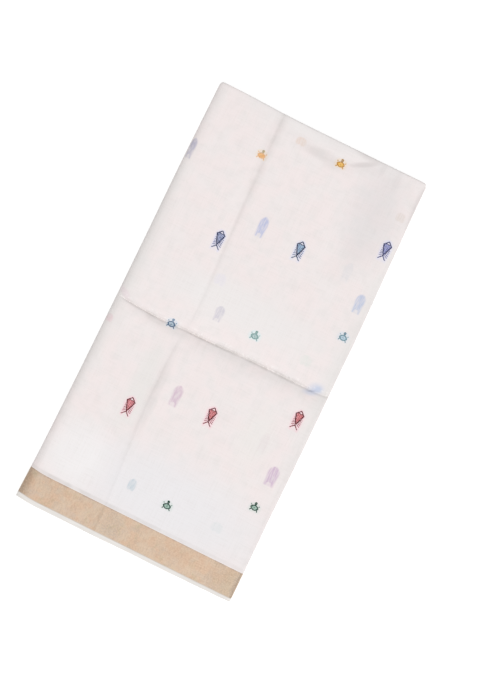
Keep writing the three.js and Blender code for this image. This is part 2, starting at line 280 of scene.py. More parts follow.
def ripple(across, lengthwise, seed):
    """Smooth noise from -1 to 1 with a grain of 1, from a seeded lattice."""
    size = 64
    lattice = np.random.default_rng(seed).uniform(-1, 1, (size, size))
    i = np.floor(across).astype(int)
    j = np.floor(lengthwise).astype(int)
    a = across - i
    b = lengthwise - j
    a = a * a * (3 - 2 * a)
    b = b * b * (3 - 2 * b)
    low = lattice[i % size, j % size] * (1 - a) + lattice[(i + 1) % size, j % size] * a
    high = lattice[i % size, (j + 1) % size] * (1 - a) + lattice[(i + 1) % size, (j + 1) % size] * a
    return low * (1 - b) + high * b


def half_width(y):
    share = y / PACKET_LENGTH + 0.5
    return (SELVEDGE_END_WIDTH * (1 - share) + FOLD_END_WIDTH * share) / 2


def spine_x(y):
    return -half_width(y) - along(SIDE_BOWS, "spine", y)


def open_x(y):
    return half_width(y) + along(SIDE_BOWS, "open", y)


def selvedge_end_y(x):
    straight = -PACKET_LENGTH / 2 - SELVEDGE_END_SKEW * x / SELVEDGE_END_WIDTH
    return straight + along(SELVEDGE_END_RISE, "rise", x)


def fold_end_y(x):
    """The fold end, with its two corners rounded."""
    end = PACKET_LENGTH / 2 - FOLD_END_SKEW * x / FOLD_END_WIDTH + along(FOLD_END_BOW, "out", x)
    side = np.minimum(x - spine_x(end), open_x(end) - x)
    into_corner = np.clip(CORNER_ROUND - side, 0, CORNER_ROUND)
    return end - CORNER_ROUND + np.sqrt(CORNER_ROUND**2 - into_corner**2)


def cross_crease_y(x):
    return along(CROSS_CREASE, "y", x)


def length_crease_x(y):
    return along(LENGTH_CREASE, "x", y)


def length_crease_reach(y, distance):
    """How far the lengthwise crease reaches, on the side that a distance from its line is on."""
    to_spine = along(LENGTH_CREASE_REACH, "to_spine", y)
    return np.where(distance < 0, to_spine, along(LENGTH_CREASE_REACH, "to_open", y))


def pressed(distance, reach, power):
    """A fall from 1 on a crease's line to 0 at its reach, sharp on the line."""
    return np.maximum(0, 1 - np.abs(distance) / reach) ** power


def to_segment(x, y, from_x, from_y, to_x, to_y):
    """Distance from a place to a straight line between two others."""
    run_x = to_x - from_x
    run_y = to_y - from_y
    share = ((x - from_x) * run_x + (y - from_y) * run_y) / (run_x**2 + run_y**2)
    share = np.clip(share, 0, 1)
    return np.hypot(x - from_x - share * run_x, y - from_y - share * run_y)


def soft_fold(x, y, *line, reach, height):
    closeness = np.clip(1 - to_segment(x, y, *line) / reach, 0, 1)
    return height * closeness**2 * (3 - 2 * closeness)


def fine_relief(x, y):
    """Low ripples of the cloth, with small puckers beside the crease and the edges."""

    def ripples(grain_across, grain_along, height, seed):
        return height * ripple(x / grain_across, y / grain_along, seed)

    def beside(distance, fade):
        return np.exp(-np.abs(distance) / fade)

    return (
        ripples(*SLOW_RIPPLE)
        + ripples(*SMALL_RIPPLE)
        + beside(open_x(y) - x, OPEN_EDGE_FADE) * ripples(*OPEN_EDGE_PUCKER)
        + beside(y - cross_crease_y(x), CREASE_FADE) * ripples(*CREASE_PUCKER)
        + beside(y - selvedge_end_y(x), SELVEDGE_END_FADE) * ripples(*SELVEDGE_END_WAVE)
    )


def front_height(x, y):
    """Height of the front panel's face, away from its edges."""
    crown = CROWN * (1 - (x / (FOLD_END_WIDTH / 2)) ** 2)
    beyond = y - cross_crease_y(x)
    reach = np.where(beyond < 0, along(CROSS_CREASE, "reach", x), CROSS_CREASE_BEYOND)
    cross = -along(CROSS_CREASE, "depth", x) * pressed(beyond, reach, 2)
    in_groove = beyond - CROSS_GROOVE_SHIFT
    near_wall = pressed(in_groove, *CROSS_GROOVE_BEFORE)
    far_wall = pressed(in_groove, *CROSS_GROOVE_BEYOND)
    cross -= along(CROSS_GROOVE, "depth", x) * np.where(in_groove < 0, near_wall, far_wall)
    aside = x - length_crease_x(y)
    lengthwise = along(LENGTH_CREASE, "height", y) * pressed(aside, length_crease_reach(y, aside), 2)
    soft = sum(soft_fold(x, y, *line, reach=reach, height=height) for *line, reach, height in SOFT_FOLDS)
    return along(PILE_HEIGHTS, "height", y) + crown + cross + lengthwise + soft + fine_relief(x, y)


def from_selvedge(distance):
    """A row beside the selvedge end. The end wanders a little, and the border's seams lie askew to it."""
    grain, amount, fade, seed = SELVEDGE_WANDER
    amount = amount * math.exp(-distance / fade)
    skew = SEAM_SKEW * min(1, distance / SELVEDGE_WIDTH) / SELVEDGE_END_WIDTH

    def row(x):
        return selvedge_end_y(x) + distance - skew * x + amount * ripple(np.asarray(x / grain), 0.5, seed)

    return row


def from_cross_crease(distance):
    return lambda x: cross_crease_y(x) + distance


def from_fold_end(distance):
    return lambda x: fold_end_y(x) - distance


def rows_between(first, last, steps):
    shares = np.linspace(0, 1, steps + 1)[1:-1]
    return [lambda x, share=share: first(x) * (1 - share) + last(x) * share for share in shares]


def lip(profile, share=1.0):
    return np.array(profile) * (1, share)


class Across:
    """The columns round the packet at one y, from the back's lip, round the spine, to the front's lip.

    turn is the angle round the spine, from -90 on the underside to 90 on the front.
    """

    def __init__(self, y):
        axis = spine_x(y) + SPINE_ROUND
        edge = open_x(y)
        crease = length_crease_x(y)
        under = lip(OPEN_LIP, UNDER_LIP_SHARE)[::-1]
        over = lip(OPEN_LIP)
        shares = np.array(LENGTH_CREASE_SHARES)
        lines = crease + length_crease_reach(y, shares) * shares
        under_flat = np.linspace(edge - under[-1, 0], axis, COLUMNS_UNDER + 1)[1:-1]
        spine = axis - SPINE_ROUND * np.cos(np.radians(SPINE_TURNS))
        to_crease = np.linspace(axis, lines[0], COLUMNS_TO_CREASE + 1)[1:-1]
        from_crease = np.linspace(lines[-1], edge - over[0, 0], COLUMNS_FROM_CREASE + 1)[1:-1]
        parts = (edge - under[:, 0], under_flat, spine, to_crease, lines, from_crease, edge - over[:, 0])
        counts = [len(part) for part in parts]
        self.x = np.concatenate(parts)
        before = counts[0] + counts[1]
        after = sum(counts[3:])
        self.turn = np.radians(np.concatenate([np.full(before, -90), SPINE_TURNS, np.full(after, 90)]))
        middle = sum(counts[1:-1])
        self.fall = np.concatenate([under[:, 1], np.zeros(middle), over[:, 1]])
        self.spine_top = before + counts[2] - 1
        self.lip_start = len(self.x) - counts[-1]
        column = np.arange(len(self.x))
        self.on_lip = (column < counts[0] - 1) | (column > self.lip_start)
        self.tucked = (column < counts[0] - 1 - LIP_NOSE) | (column > self.lip_start + LIP_NOSE)


def wrap_grid(rows):
    """Points round the packet for rows of (y from x, fall of the fold end), and their places on cloth."""
    points = []
    for row, fall in rows:
        columns = Across(row(0.0))
        x = columns.x
        y = row(x)
        middle = along(PILE_HEIGHTS, "height", y) / 2
        top = front_height(x, y)
        over = np.sin(columns.turn)
        rise = np.where(over > 0, top - middle, middle - UNDERSIDE)
        inward = np.stack([np.cos(columns.turn) / SPINE_ROUND, -over / middle], axis=-1)
        inward /= np.linalg.norm(inward, axis=-1, keepdims=True)
        share = UNDER_LIP_SHARE + (1 - UNDER_LIP_SHARE) * (over + 1) / 2
        extra = np.maximum(fall * share, columns.fall)
        x = x + inward[:, 0] * extra
        z = middle + rise * over + inward[:, 1] * extra
        points.append(np.stack([x, y, z], axis=-1))
    points = np.array(points)
    return points, cloth_places(points, columns, [fall for _, fall in rows])


def cloth_places(points, columns, falls):
    """Where each point lies on the flat cloth: x and y on the front panel, carried on round the edges."""
    x, y = points[..., 0], points[..., 1]
    to_selvedge = np.clip(-y / (PACKET_LENGTH / 2), 0, 1)
    askew = (SELVEDGE_END_SKEW + SEAM_SKEW) * x / SELVEDGE_END_WIDTH - along(SELVEDGE_END_RISE, "rise", x)
    across = x.copy()
    lengthwise = y + askew * to_selvedge
    steps = np.linalg.norm(np.diff(points, axis=1), axis=-1)
    for column in range(columns.spine_top - 1, -1, -1):
        across[:, column] = across[:, column + 1] - steps[:, column]
    for column in range(columns.lip_start + 1, x.shape[1]):
        across[:, column] = across[:, column - 1] + steps[:, column - 1]
    steps = np.linalg.norm(np.diff(points, axis=0), axis=-1)
    for row in range(1, len(falls)):
        if falls[row] > 0:
            lengthwise[row] = lengthwise[row - 1] + steps[row - 1]
    return np.stack([across, lengthwise], axis=-1)


def grid_bmesh(points, places):
    """A grid of cloth moved to its points, with its place on the flat cloth as a UV map, in metres."""
    rows, columns = points.shape[:2]
    bm = bmesh.new()
    bmesh.ops.create_grid(bm, x_segments=columns - 1, y_segments=rows - 1, size=1)
    if len(bm.verts) != rows * columns:
        raise RuntimeError(f"the grid has {len(bm.verts)} points, and {rows * columns} were asked for")
    start = np.array([vert.co for vert in bm.verts])
    order = np.lexsort((start[:, 0], start[:, 1]))
    bm.verts.ensure_lookup_table()
    flat = np.empty((len(order), 2))
    for number, point, place in zip(order, points.reshape(-1, 3) * MM, places.reshape(-1, 2) * MM):
        bm.verts[number].co = point
        flat[number] = place
    uv = bm.loops.layers.uv.new("cloth")
    bm.verts.index_update()
    for face in bm.faces:
        face.smooth = True
        for loop in face.loops:
            loop[uv].uv = flat[loop.vert.index]
    return bm, order.reshape(rows, columns)


def mesh_from(name, bm):
    mesh = bpy.data.meshes.new(name)
    bm.to_mesh(mesh)
    bm.free()
    return mesh


def new_piece(name, mesh, *materials):
    for material in materials:
        mesh.materials.append(material)
    piece = bpy.data.objects.new(name, mesh)
    bpy.context.scene.collection.objects.link(piece)
    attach(piece, "root")
    return piece


def thin_cloth(piece, thickness):
    """Gives a sheet its thickness, inwards from its outer face."""
    solid = piece.modifiers.new("thickness", "SOLIDIFY")
    solid.thickness = thickness
    solid.offset = -1


CREASE_ROWS = [from_cross_crease(distance) for distance in CREASE_BEFORE + CREASE_BEYOND]
STRETCHES = {
    "selvedge": [from_selvedge(d) for d in np.linspace(0, SELVEDGE_WIDTH, SELVEDGE_ROWS)],
    "border": [from_selvedge(d) for d in np.linspace(SELVEDGE_WIDTH, FIELD_START, BORDER_ROWS)],
    "field": [
        from_selvedge(FIELD_START),
        *rows_between(from_selvedge(FIELD_START), CREASE_ROWS[0], ROWS_TO_CROSS_CREASE),
        *CREASE_ROWS,
        *rows_between(CREASE_ROWS[-1], from_fold_end(FOLD_LIP[0][0]), ROWS_TO_FOLD_END),
    ],
}


def build_wrap(stretch, thickness, material):
    """One stretch of the outer wrap: under the packet, round the spine and over the front."""
    rows = [(row, 0.0) for row in STRETCHES[stretch]]
    flat_rows = len(rows)
    if stretch == "field":
        rows += [(from_fold_end(distance), fall) for distance, fall in FOLD_LIP]
    points, places = wrap_grid(rows)
    bm, numbers = grid_bmesh(points, places)
    columns = Across(0.0)
    on_lip = np.arange(len(rows)) > flat_rows
    tucked = np.arange(len(rows)) > flat_rows + LIP_NOSE
    hidden = (tucked[:, None] & columns.on_lip) | (on_lip[:, None] & columns.tucked)
    corners = [bm.verts[number] for number in numbers[hidden]]
    bmesh.ops.delete(bm, geom=corners, context="VERTS")
    for edge in bm.edges:
        edge.smooth = not edge.is_boundary
    piece = new_piece(f"{stretch}_cloth", mesh_from(f"{stretch}_cloth", bm), material)
    thin_cloth(piece, thickness)
    return piece


def leaf_ring():
    """Points round a leaf's section: turn round the spine, station on its arm, side, bulge at its nose."""
    arm = range(LEAF_STATIONS)
    quarter_turn = math.pi / 2

    def noses(turn):
        return [(turn, arm[-1], -math.cos(nose), math.sin(nose)) for nose in LEAF_NOSE_TURNS]

    def side_round(side, turn):
        """One side, from the end of one arm, round the spine, to the end of the other arm."""
        stations = [(-turn, station, side, 0) for station in arm[::-1]]
        stations += [(turns, 0, side, 0) for turns in LEAF_SPINE_TURNS * turn / quarter_turn]
        return stations + [(turn, station, side, 0) for station in arm]

    ring = side_round(-1, quarter_turn) + noses(quarter_turn)
    ring += side_round(1, -quarter_turn) + noses(-quarter_turn)[::-1]
    ring.append(ring[0])
    return np.array(ring, float).T


def arm_stations(axis, crease, end):
    """Places along a leaf's arm, from the spine's axis, over the lengthwise crease, to its open end."""
    return np.concatenate([
        np.linspace(axis, crease - LEAF_CREASE_REACH, LEAF_TO_CREASE),
        crease + LEAF_CREASE_REACH * LEAF_AT_CREASE,
        np.linspace(crease + LEAF_CREASE_REACH, end, LEAF_FROM_CREASE),
    ])


def leaf_rows():
    """Rows of a leaf: y from x, share of the way to each end, and share of its thickness."""
    parted = [(from_selvedge(distance), -1, thick) for distance, thick in PARTED_PLIES]
    level = [
        *[from_selvedge(d) for d in (SELVEDGE_WIDTH, FIELD_START - BORDER_WIDTH / 2, FIELD_START)],
        *rows_between(from_selvedge(FIELD_START), CREASE_ROWS[0], LEAF_ROWS_TO_CREASE),
        *[from_cross_crease(distance) for distance in LEAF_CREASE_ROWS],
        *rows_between(CREASE_ROWS[-1], from_fold_end(LEAF_FLAT_END), LEAF_ROWS_TO_FOLD),
        from_fold_end(LEAF_FLAT_END),
    ]
    nose = [
        (from_fold_end(LEAF_HALF_THICKNESS * (1 - math.sin(angle))), 1, math.cos(angle))
        for angle in LEAF_END_TURNS
    ]
    return [*parted, *[(row, 0, 1.0) for row in level], (from_fold_end(LEAF_TURN_START), 1, 1.0), *nose]


def leaf_ripple(place, leaf, grain, shift, seed):
    return LEAF_RIPPLE * ripple(place / grain, np.array(leaf * shift), seed)


def leaf_grid(leaf, leaves):
    """One folded leaf, a doubled cloth that turns round the spine inside the wrap."""
    turn, station, side, bulge = leaf_ring()
    station = station.astype(int)
    over = np.sin(turn)
    half_share = LEAF_FILL / 4 / leaves
    middle_share = (leaf + 0.5) / 2 / leaves
    upper = (over + 1) / 2
    reach_fold = LEAF_REACH_FOLD[leaf] * upper + LEAF_REACH_FOLD_UNDER[leaf] * (1 - upper)
    points = []
    for row, end, thick in leaf_rows():
        y0 = row(0.0)
        axis = spine_x(y0) + SPINE_ROUND
        crease = length_crease_x(y0)
        wave = leaf_ripple(y0, leaf, *OPEN_RIPPLE)
        under_arm, upper_arm = [
            arm_stations(axis, crease, open_x(y0) + reach[leaf] + wave)
            for reach in (LEAF_REACH_OPEN_UNDER, LEAF_REACH_OPEN)
        ]
        share = middle_share + side * half_share * thick
        on_arm = np.where(over > 0, upper_arm[station], under_arm[station])
        round_spine = axis - (SPINE_ROUND - WRAP_DEPTH) * (1 - 2 * share) * np.cos(turn)
        x = np.where(np.isclose(np.abs(over), 1), on_arm, round_spine)
        y = row(x)
        if end > 0:
            y = y + reach_fold + leaf_ripple(x, leaf, *FOLD_RIPPLE)
        if end < 0:
            y = y - LEAF_REACH_SELVEDGE[leaf] - leaf_ripple(x, leaf, *SELVEDGE_RIPPLE)
        ceiling = front_height(x, y) - WRAP_DEPTH
        floor = UNDERSIDE + WRAP_DEPTH
        half_height = (ceiling - floor) / 2
        x = x + bulge * thick * half_height * half_share * 2
        z = floor + half_height + half_height * (1 - 2 * share) * over
        points.append(np.stack([x, y, z], axis=-1))
    points = np.array(points)
    return points, points[..., :2] + (LEAF_PATTERN_SHIFT * (leaf + 1), 0)


def build_leaves(leaves, materials):
    """The folded leaves inside the wrap, each closed along its folds and parted at its selvedges."""
    whole = bmesh.new()
    whole.loops.layers.uv.new("cloth")
    for leaf in range(leaves):
        bm, numbers = grid_bmesh(*leaf_grid(leaf, leaves))
        row_of = np.empty(numbers.size, int)
        row_of[numbers] = np.arange(len(numbers))[:, None]
        selvedge_rows = len(PARTED_PLIES)
        for face in bm.faces:
            row = min(row_of[vert.index] for vert in face.verts)
            face.material_index = 2 if row < selvedge_rows else 1 if row < selvedge_rows + 2 else 0
        bmesh.ops.remove_doubles(bm, verts=bm.verts, dist=MERGED_WITHIN)
        part = mesh_from("leaf", bm)
        whole.from_mesh(part)
        bpy.data.meshes.remove(part)
    return new_piece("folded_leaves", mesh_from("folded_leaves", whole), *materials)


# Colours of each sprig: outline, fill, head or fin ticks, and the haze that its dye gives the cloth
BLUE = ("#2E3A62", "#B0B8D8", "#44548A", "#CBD3F8")
BLUE_GREEN = ("#14284E", "#ACC6E0", "#2E4C7C", "#CAD8FC")
VIOLET = ("#2C3066", "#ACB0DC", "#4C4C8C", "#CCD6FC")
RED = ("#700A1C", "#F09EA4", "#A42E4A", "#FFC0D0")
DEEP_RED = ("#640818", "#EA9498", "#94263E", "#FFBCCC")
ORANGE = ("#EEC092", "#F4BE7E", "#BEAE8A", "#F2DCBC")
YELLOW = ("#D09A48", "#F8C868", "#B0864E", "#F4D8AA")
TEAL = ("#5A7490", "#BED0DC", "#8CA2B8", "#C8DEF0")
PALE_TEAL = ("#7C9EAA", "#C2D8E6", "#7090A0", "#D0E2F0")
SEA_GREEN = ("#90B0AE", "#BCD2D2", "#86AAA6", "#CCF0F4")
GREEN = ("#184C3C", "#AAC8BA", "#1A4838", "#C6DAD2")

# Sprigs on the front: kind, x, y, colours
FRONT_SPRIGS = (
    ("turtle", -58.7, 230.9, ORANGE),
    ("turtle", 35.3, 263.9, YELLOW),
    ("fish", -60.9, 111.4, BLUE),
    ("fish", 35.2, 142.6, BLUE_GREEN),
    ("fish", 132.4, 189.6, VIOLET),
    ("turtle", -68.4, -7.8, TEAL),
    ("turtle", 32.0, 23.6, SEA_GREEN),
    ("turtle", 132.3, 70.0, PALE_TEAL),
    ("fish", -71.9, -125.0, RED),
    ("fish", 26.1, -92.2, DEEP_RED),
    ("fish", 125.7, -48.6, DEEP_RED),
    ("turtle", 25.4, -215.5, GREEN),
    ("turtle", 124.9, -169.6, GREEN),
)

# Sprigs on the underside keep the cloth's repeat: kind, x, y, colours
UNDER_SPRIGS = (
    ("turtle", -44, 181, ORANGE),
    ("turtle", 53, 150, YELLOW),
    ("fish", -45, 44, BLUE),
    ("fish", 52, 12, VIOLET),
    ("turtle", -42, -76, TEAL),
    ("turtle", 55, -106, SEA_GREEN),
    ("fish", -44, -188, RED),
    ("fish", 52, -214, RED),
    ("fish", -44, 262, RED),
    ("fish", 52, 244, RED),
)

# Each sprig's threads vary by a seed of its own, counted up from this one on each side
FIRST_SEED = 100

# How wide and long the haze of dye round a sprig is, as shares of its shadow, and its strength
HAZE_SIZE = (1.3, 1.12)
HAZE_STRENGTH = 0.48

# Sprigs seen through the cloth, from the leaf below: kind, x, y, shares of its width and length, colour,
# strength
SEEN_THROUGH = (
    ("turtle", -21.4, 267.6, 1.05, 0.9, "#E6CCB8", 0.5),
    ("turtle", 131.8, 235.6, 1.0, 1.0, "#DCCCC2", 0.4),
    ("fish", -18.9, 149.6, 1.0, 1.05, "#B4BCDE", 0.8),
    ("fish", 131.8, 115.6, 1.05, 1.0, "#B4C2DE", 0.76),
    ("fish", -142.0, 200.8, 0.8, 1.08, "#A4A4C0", 0.72),
    ("fish", -20.4, 28.6, 1.0, 0.8, "#C2BECE", 0.55),
    ("fish", -23.8, -87.2, 1.05, 1.1, "#D0B4C8", 0.72),
    ("fish", 127.8, -125.2, 1.25, 1.02, "#CCB0CC", 0.78),
    ("turtle", -25.4, -211.4, 0.82, 1.3, "#B8CAD4", 0.62),
    ("turtle", -142.4, -35.4, 0.8, 0.9, "#E8BCC6", 0.4),
    ("turtle", -37.5, 68.0, 1.2, 1.3, "#E4E0EE", 0.4),
    ("fish", 101.5, 144.7, 1.0, 1.0, "#D8D8DE", 0.35),
    ("turtle", 102.7, 23.2, 1.2, 1.2, "#D6E2DA", 0.35),
    ("fish", 100.2, -92.4, 1.0, 1.0, "#E2D2D6", 0.25),
    ("turtle", 93.4, -212.5, 1.2, 1.1, "#D6DEE0", 0.35),
)

# The charts of the sprigs: the length of each, half the width of both, the step at which they are read
# along the weft, and how far past their ends
FISH_LENGTH = 27
TURTLE_LENGTH = 13
HALF_CHART = 6.2
CHART_STEP = 0.2
CHART_MARGIN = 0.5

# Floats of thread: the shortest that shows and the longest before it is tied down, half its width as a
# share of the wefts' distance, how far it runs under at each end, and how its height varies
SHORTEST_FLOAT = 0.5
LONGEST_FLOAT = 2.4
FLOAT_HALF_WIDTH = 0.72
FLOAT_OVERLAP = 0.14
FLOAT_HEIGHTS = (0.85, 1.0)

# How sprigs differ: their lean, how far a float slips along its weft, and how many fill floats are how
# much darker
LEAN = 0.03
FLOAT_SLIP = 0.15
DARKER_SHARE = 0.14
DARKER_BY = (0.3, 0.7)


def fish_thread(x, y):
    """The thread of the fish, its head towards +Y, at a place from its centre: a part's name, or bare."""
    side = abs(x)
    head, cheek, tail, fork, tips = 12.7, 7.6, -5.0, -6.6, -11.8
    if cheek <= y <= head:
        body = 5.4 * (head - y) / (head - cheek)
    elif tail <= y < cheek:
        body = 0.5 + 4.9 * ((y - tail) / (cheek - tail)) ** 0.8
    elif fork <= y < tail:
        body = 0.5
    else:
        body = -1.0
    if body >= 0:
        if side > body + 0.6:
            return flank_thread(x, y, body)
        if side > body - 1.2:
            return "outline"
        eyes = 9.1 < y < 11.4 and side < 1.1 + (11.4 - y) * 0.3
        if eyes:
            return "bare"
        gill = abs(y - 8.6) < 0.4
        if gill:
            return "outline"
        return "hatch" if (y + 0.8 * x) % 2.5 < 0.7 else "fill"
    if tips <= y < fork:
        leg = 5.0 * ((fork - y) / (fork - tips)) ** 1.1
        if abs(side - leg) < 0.85:
            return "outline" if y > -8.2 else "leg"
        if side > leg:
            return flank_thread(x, y, leg)
    return "bare"


def flank_thread(x, y, body):
    """Slanting fin ticks beside the narrow of the body, longer on its right side."""
    side = abs(x)
    far = 6.4 if x > 0 else 5.2
    if not (-8.4 < y < 3.0 and body + 0.9 < side < far):
        return "bare"
    return "accent" if (y + 0.6 * side) % 2.3 < 0.75 else "bare"


def turtle_thread(x, y):
    """The thread of the turtle, its head towards +Y, at a place from its centre: a part's name, or bare."""
    side = abs(x)
    head = math.hypot(side / 1.8, (y - 4.6) / 1.9) < 1
    neck = side < 0.7 and 2.2 < y < 3.6
    if head or neck:
        return "accent"
    shell = (side / 5.4) ** 1.6 + (abs(y + 1.1) / 3.8) ** 1.6
    if shell < 0.5:
        return "hatch" if math.hypot(x, y + 1.1) < 0.7 else "fill"
    hind_leg = to_segment(side, y, 3.8, -3.6, 5.0, -5.2) < 0.6
    if shell < 1.0 or hind_leg:
        return "outline"
    front_leg = to_segment(side, y, 4.8, 1.4, 5.6, 2.4) < 0.5
    return "hatch" if front_leg else "bare"


SPRIG_CHARTS = {"fish": (fish_thread, FISH_LENGTH), "turtle": (turtle_thread, TURTLE_LENGTH)}


def sprig_floats(kind, pitch):
    """Floats of one sprig along its weft: x, middle y, length and thread of each."""
    thread_at, length = SPRIG_CHARTS[kind]
    reach = length / 2 + CHART_MARGIN
    marks = np.arange(-reach, reach, CHART_STEP)
    columns = int(HALF_CHART / pitch)
    floats = []
    for column in range(-columns, columns + 1):
        x = column * pitch
        threads = [thread_at(x, y) for y in marks]
        start = 0
        for i in range(1, len(marks) + 1):
            if i < len(marks) and threads[i] == threads[start]:
                continue
            run = (i - start) * CHART_STEP
            if threads[start] != "bare" and run > SHORTEST_FLOAT:
                cuts = math.ceil(run / LONGEST_FLOAT)
                for cut in range(cuts):
                    middle = marks[start] + run * (cut + 0.5) / cuts
                    floats.append((x, middle, run / cuts, threads[start]))
            start = i
    return floats


def one_float():
    """A float of thread, one across, one long and one high, as a mesh to repeat."""
    bm = bmesh.new()
    bm.verts.layers.float_color.new("thread")
    bmesh.ops.create_uvsphere(bm, u_segments=6, v_segments=4, radius=1)
    return mesh_from("float", bm)


def build_sprig(name, kind, x, y, colours, pitch, rise, seed, under=False):
    """One woven sprig: raised floats of thread that lie on the cloth, as one joined mesh."""
    random = np.random.default_rng(seed)
    outline, fill, accent = [np.array((*linear(colour), 1)) for colour in colours[:3]]
    darker = {"outline": 1.0, "leg": 0.8, "hatch": 0.6, "fill": 0.0}
    shades = {part: fill + (outline - fill) * share for part, share in darker.items()}
    shades["accent"] = accent
    lean = random.uniform(-LEAN, LEAN)
    unit = one_float()
    bm = bmesh.new()
    for across, lengthwise, length, part in sprig_floats(kind, pitch):
        shade = shades[part]
        if part == "fill" and random.random() < DARKER_SHARE:
            shade = shade + (outline - shade) * random.uniform(*DARKER_BY)
        middle = (across + lean * lengthwise, lengthwise + random.uniform(-FLOAT_SLIP, FLOAT_SLIP), 0)
        height = rise * random.uniform(*FLOAT_HEIGHTS)
        size = (pitch * FLOAT_HALF_WIDTH, length / 2 + FLOAT_OVERLAP, height)
        place = Matrix.LocRotScale(middle, None, size)
        bm.from_mesh(unit)
        bm.verts.ensure_lookup_table()
        thread = bm.verts.layers.float_color["thread"]
        for vert in bm.verts[-len(unit.vertices) :]:
            vert.co = place @ vert.co
            vert[thread] = shade
    bpy.data.meshes.remove(unit)
    turned = -1 if under else 1
    points = np.array([vert.co for vert in bm.verts]) * (turned, 1, turned) + (x, y, 0)
    points[:, 2] += UNDERSIDE if under else front_height(points[:, 0], points[:, 1])
    for vert, point in zip(bm.verts, points * MM):
        vert.co = point
    mesh = mesh_from(name, bm)
    mesh.shade_smooth()
    return mesh


def linear(colour):
    """An sRGB hex colour as linear red, green and blue."""
    parts = [int(colour[i : i + 2], 16) / 255 for i in (1, 3, 5)]
    return tuple(p / 12.92 if p <= 0.04045 else ((p + 0.055) / 1.055) ** 2.4 for p in parts)


# How wide the threads of a grain look, as a share of its size
THREAD_SHARE = 0.6

# Settings that many nodes share: a soft change between two values, and a mix of colours
SOFT = {"interpolation_type": "SMOOTHSTEP"}
RGBA = {"data_type": "RGBA"}


def add(tree, kind, inputs=(), **settings):
    """Adds a node with its settings. Its inputs are named, or listed in its own order. Each is a plain
    value, or what is linked to it: a socket, or a node, which stands for its first output in use.
    """
    node = tree.nodes.new(kind if kind.startswith("Node") else f"ShaderNode{kind}")
    for name, value in settings.items():
        setattr(node, name, value)
    for key, value in inputs.items() if isinstance(inputs, dict) else enumerate(inputs):
        if isinstance(value, bpy.types.Node):
            value = next(socket for socket in value.outputs if socket.enabled)
        if isinstance(value, bpy.types.NodeSocket):
            tree.links.new(value, node.inputs[key])
        else:
            node.inputs[key].default_value = value
    return node


def new_material(name):
    material = bpy.data.materials.new(name)
    material.use_nodes = True
    material.node_tree.nodes.clear()
    return material, material.node_tree


def finish_material(tree, inputs):
    """Ends a material with its surface."""
    add(tree, "OutputMaterial", {"Surface": add(tree, "BsdfPrincipled", inputs)})


def grain(tree, place, size, detail=2, stretch=(1, 1, 1)):
    """Uneven grain of a size in millimetres. A stretch below 1 draws it out into threads."""
    stretched = add(tree, "Mapping", {"Vector": place, "Scale": stretch})
    return add(tree, "TexNoise", {"Vector": stretched, "Scale": 1 / (size * MM), "Detail": detail})


def crossed_threads(tree, place, size, detail, stretch):
    """Uneven threads both ways, of a width in millimetres."""
    both = [grain(tree, place, size, detail, ways) for ways in ((1, stretch, 1), (stretch, 1, 1))]
    return add(tree, "Math", both, operation="ADD")


def patches(tree, place, size, low, high, least=0, most=1, detail=2, stretch=(1, 1, 1)):
    """Patches of a size in millimetres, as a share that turns from least to most between two levels."""
    level = grain(tree, place, size, detail, stretch)
    return add(tree, "MapRange", (level, low, high, least, most), **SOFT)


def band(tree, value, middle, half, most):
    """A soft band of a share where a value in metres is within half of middle, both in millimetres."""
    away = add(tree, "Math", (value, middle * MM), operation="SUBTRACT")
    away = add(tree, "Math", (away,), operation="ABSOLUTE")
    return add(tree, "MapRange", (away, 0.25 * half * MM, half * MM, most, 0), **SOFT)


def tinted(tree, colour, tone, *shares):
    """The colour turned towards a tone, as far as the product of its shares."""
    share = shares[0]
    for other in shares[1:]:
        share = add(tree, "Math", (share, other), operation="MULTIPLY")
    return add(tree, "Mix", {0: share, 6: colour, 7: (*linear(tone), 1)}, **RGBA)


# Half-width of each sprig's shadow through the cloth, and of the bare notch between its tail's legs
FISH_SHADOW = (("y", "half"), (-14, 4.6), (-6, 5.0), (7, 5.4), (10.5, 3.6), (14, 0))
FISH_NOTCH = (("y", "half"), (-14, 2.8), (-8.5, 2.0), (-6.5, -3), (14, -3))
TURTLE_SHADOW = (("y", "half"), (-7, 2.8), (-5, 5.2), (3, 5.4), (5, 3.6), (7, 0))
TURTLE_NOTCH = (("y", "half"), (-7, 1.8), (-4.5, 0.5), (-3, -3), (7, -3))


def table_curve(tree, value, table, top, bottom):
    """A table's second column, from bottom to top, at a value in metres. The table is in millimetres."""
    _, *rows = table
    low = rows[0][0]
    high = rows[-1][0]
    share = add(tree, "MapRange", (value, low * MM, high * MM))
    curve = add(tree, "FloatCurve", {"Value": share})
    points = curve.mapping.curves[0].points
    while len(points) < len(rows):
        points.new(0.5, 0.5)
    for point, (place, height, *_) in zip(points, rows):
        point.location = ((place - low) / (high - low), (height - bottom) / (top - bottom))
    curve.mapping.update()
    return add(tree, "MapRange", (curve, 0, 1, bottom * MM, top * MM))


